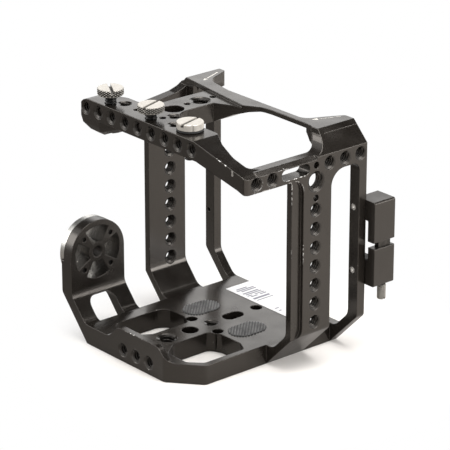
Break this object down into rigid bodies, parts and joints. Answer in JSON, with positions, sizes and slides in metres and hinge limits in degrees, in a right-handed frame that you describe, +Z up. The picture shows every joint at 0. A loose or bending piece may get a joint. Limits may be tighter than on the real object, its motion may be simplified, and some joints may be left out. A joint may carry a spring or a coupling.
{
  "type": "camera cage",
  "caption": "Machined cage for a cinema camera body, with captive thumb screws, a toothed rosette and a cable plug clamp.",
  "frame": {"origin": "mouth of the middle 1/4 inch tripod thread in the floor plane", "axes": "+Z up, +Y to the back of the cage, +X to the side with the plug clamp"},
  "size_m": [0.1247, 0.1063, 0.1194],
  "materials": {
    "anodised_frame": "black anodised, satin",
    "anodised_clamp": "black anodised, satin",
    "rosette_metal": "machined, bright",
    "dark_screw": "blackened",
    "nickel": "nickel plated, satin",
    "washer_black": "matt",
    "pad_rubber": "ribbed, matt",
    "tongue_steel": "ground",
    "bright_screw": "bright",
    "label_film": "printed film, matt"
  },
  "bodies": {
    "frame": {"cage_frame": "anodised_frame", "rosette": "rosette_metal", "rosette_screw_1": "dark_screw", "rosette_screw_2": "dark_screw", "rosette_screw_3": "dark_screw", "rosette_screw_4": "dark_screw", "base_pad_left": "pad_rubber", "base_pad_right": "pad_rubber", "clamp_upper_jaw": "anodised_clamp", "clamp_guide_tongue": "tongue_steel", "clamp_pad_upper": "pad_rubber", "clamp_mount_screw": "bright_screw", "clamp_guide_screw": "bright_screw", "base_label": "label_film"},
    "washer_left": {"thumb_washer_left": "washer_black"},
    "thumb_left": {"thumb_screw_left": "nickel"},
    "washer_middle": {"thumb_washer_middle": "washer_black"},
    "thumb_middle": {"thumb_screw_middle": "nickel"},
    "washer_right": {"thumb_washer_right": "washer_black"},
    "thumb_right": {"thumb_screw_right": "nickel"},
    "clamp_jaw": {"clamp_lower_jaw": "anodised_clamp", "clamp_pad_lower": "pad_rubber"},
    "clamp_knob": {"clamp_screw": "nickel"}
  },
  "joints": [
    {"name": "thumb_left_travel", "type": "slide", "parent": "frame", "child": "washer_left", "axis": [0, 0, 1], "range_m": [-0.00335, 0]},
    {"name": "thumb_left_turn", "type": "hinge", "parent": "washer_left", "child": "thumb_left", "pos_m": [-0.0466, -0.0216, 0.1118], "axis": [0, 0, 1], "range_deg": [-949, 0]},
    {"name": "thumb_middle_travel", "type": "slide", "parent": "frame", "child": "washer_middle", "axis": [0, 0, 1], "range_m": [-0.00255, 0.0008]},
    {"name": "thumb_middle_turn", "type": "hinge", "parent": "washer_middle", "child": "thumb_middle", "pos_m": [-0.0177, -0.0209, 0.1118], "axis": [0, 0, 1], "range_deg": [-722, 226]},
    {"name": "thumb_right_travel", "type": "slide", "parent": "frame", "child": "washer_right", "axis": [0, 0, 1], "range_m": [0, 0.0033]},
    {"name": "thumb_right_turn", "type": "hinge", "parent": "washer_right", "child": "thumb_right", "pos_m": [0.0065, -0.0177, 0.1118], "axis": [0, 0, 1], "range_deg": [0, 935]},
    {"name": "clamp_travel", "type": "slide", "parent": "frame", "child": "clamp_jaw", "axis": [0, 0, 1], "range_m": [-0.001, 0.0025]},
    {"name": "clamp_turn", "type": "hinge", "parent": "clamp_jaw", "child": "clamp_knob", "pos_m": [0.0584, 0.0546, 0.0338], "axis": [0, 0, 1], "range_deg": [-801, 2001]}
  ],
  "couplings": [
    {"joint": "thumb_left_travel", "follows": "thumb_left_turn", "m_per_rad": 0.00020213},
    {"joint": "thumb_middle_travel", "follows": "thumb_middle_turn", "m_per_rad": 0.00020213},
    {"joint": "thumb_right_travel", "follows": "thumb_right_turn", "m_per_rad": 0.00020213},
    {"joint": "clamp_turn", "follows": "clamp_travel", "rad_per_m": 13963}
  ]
}
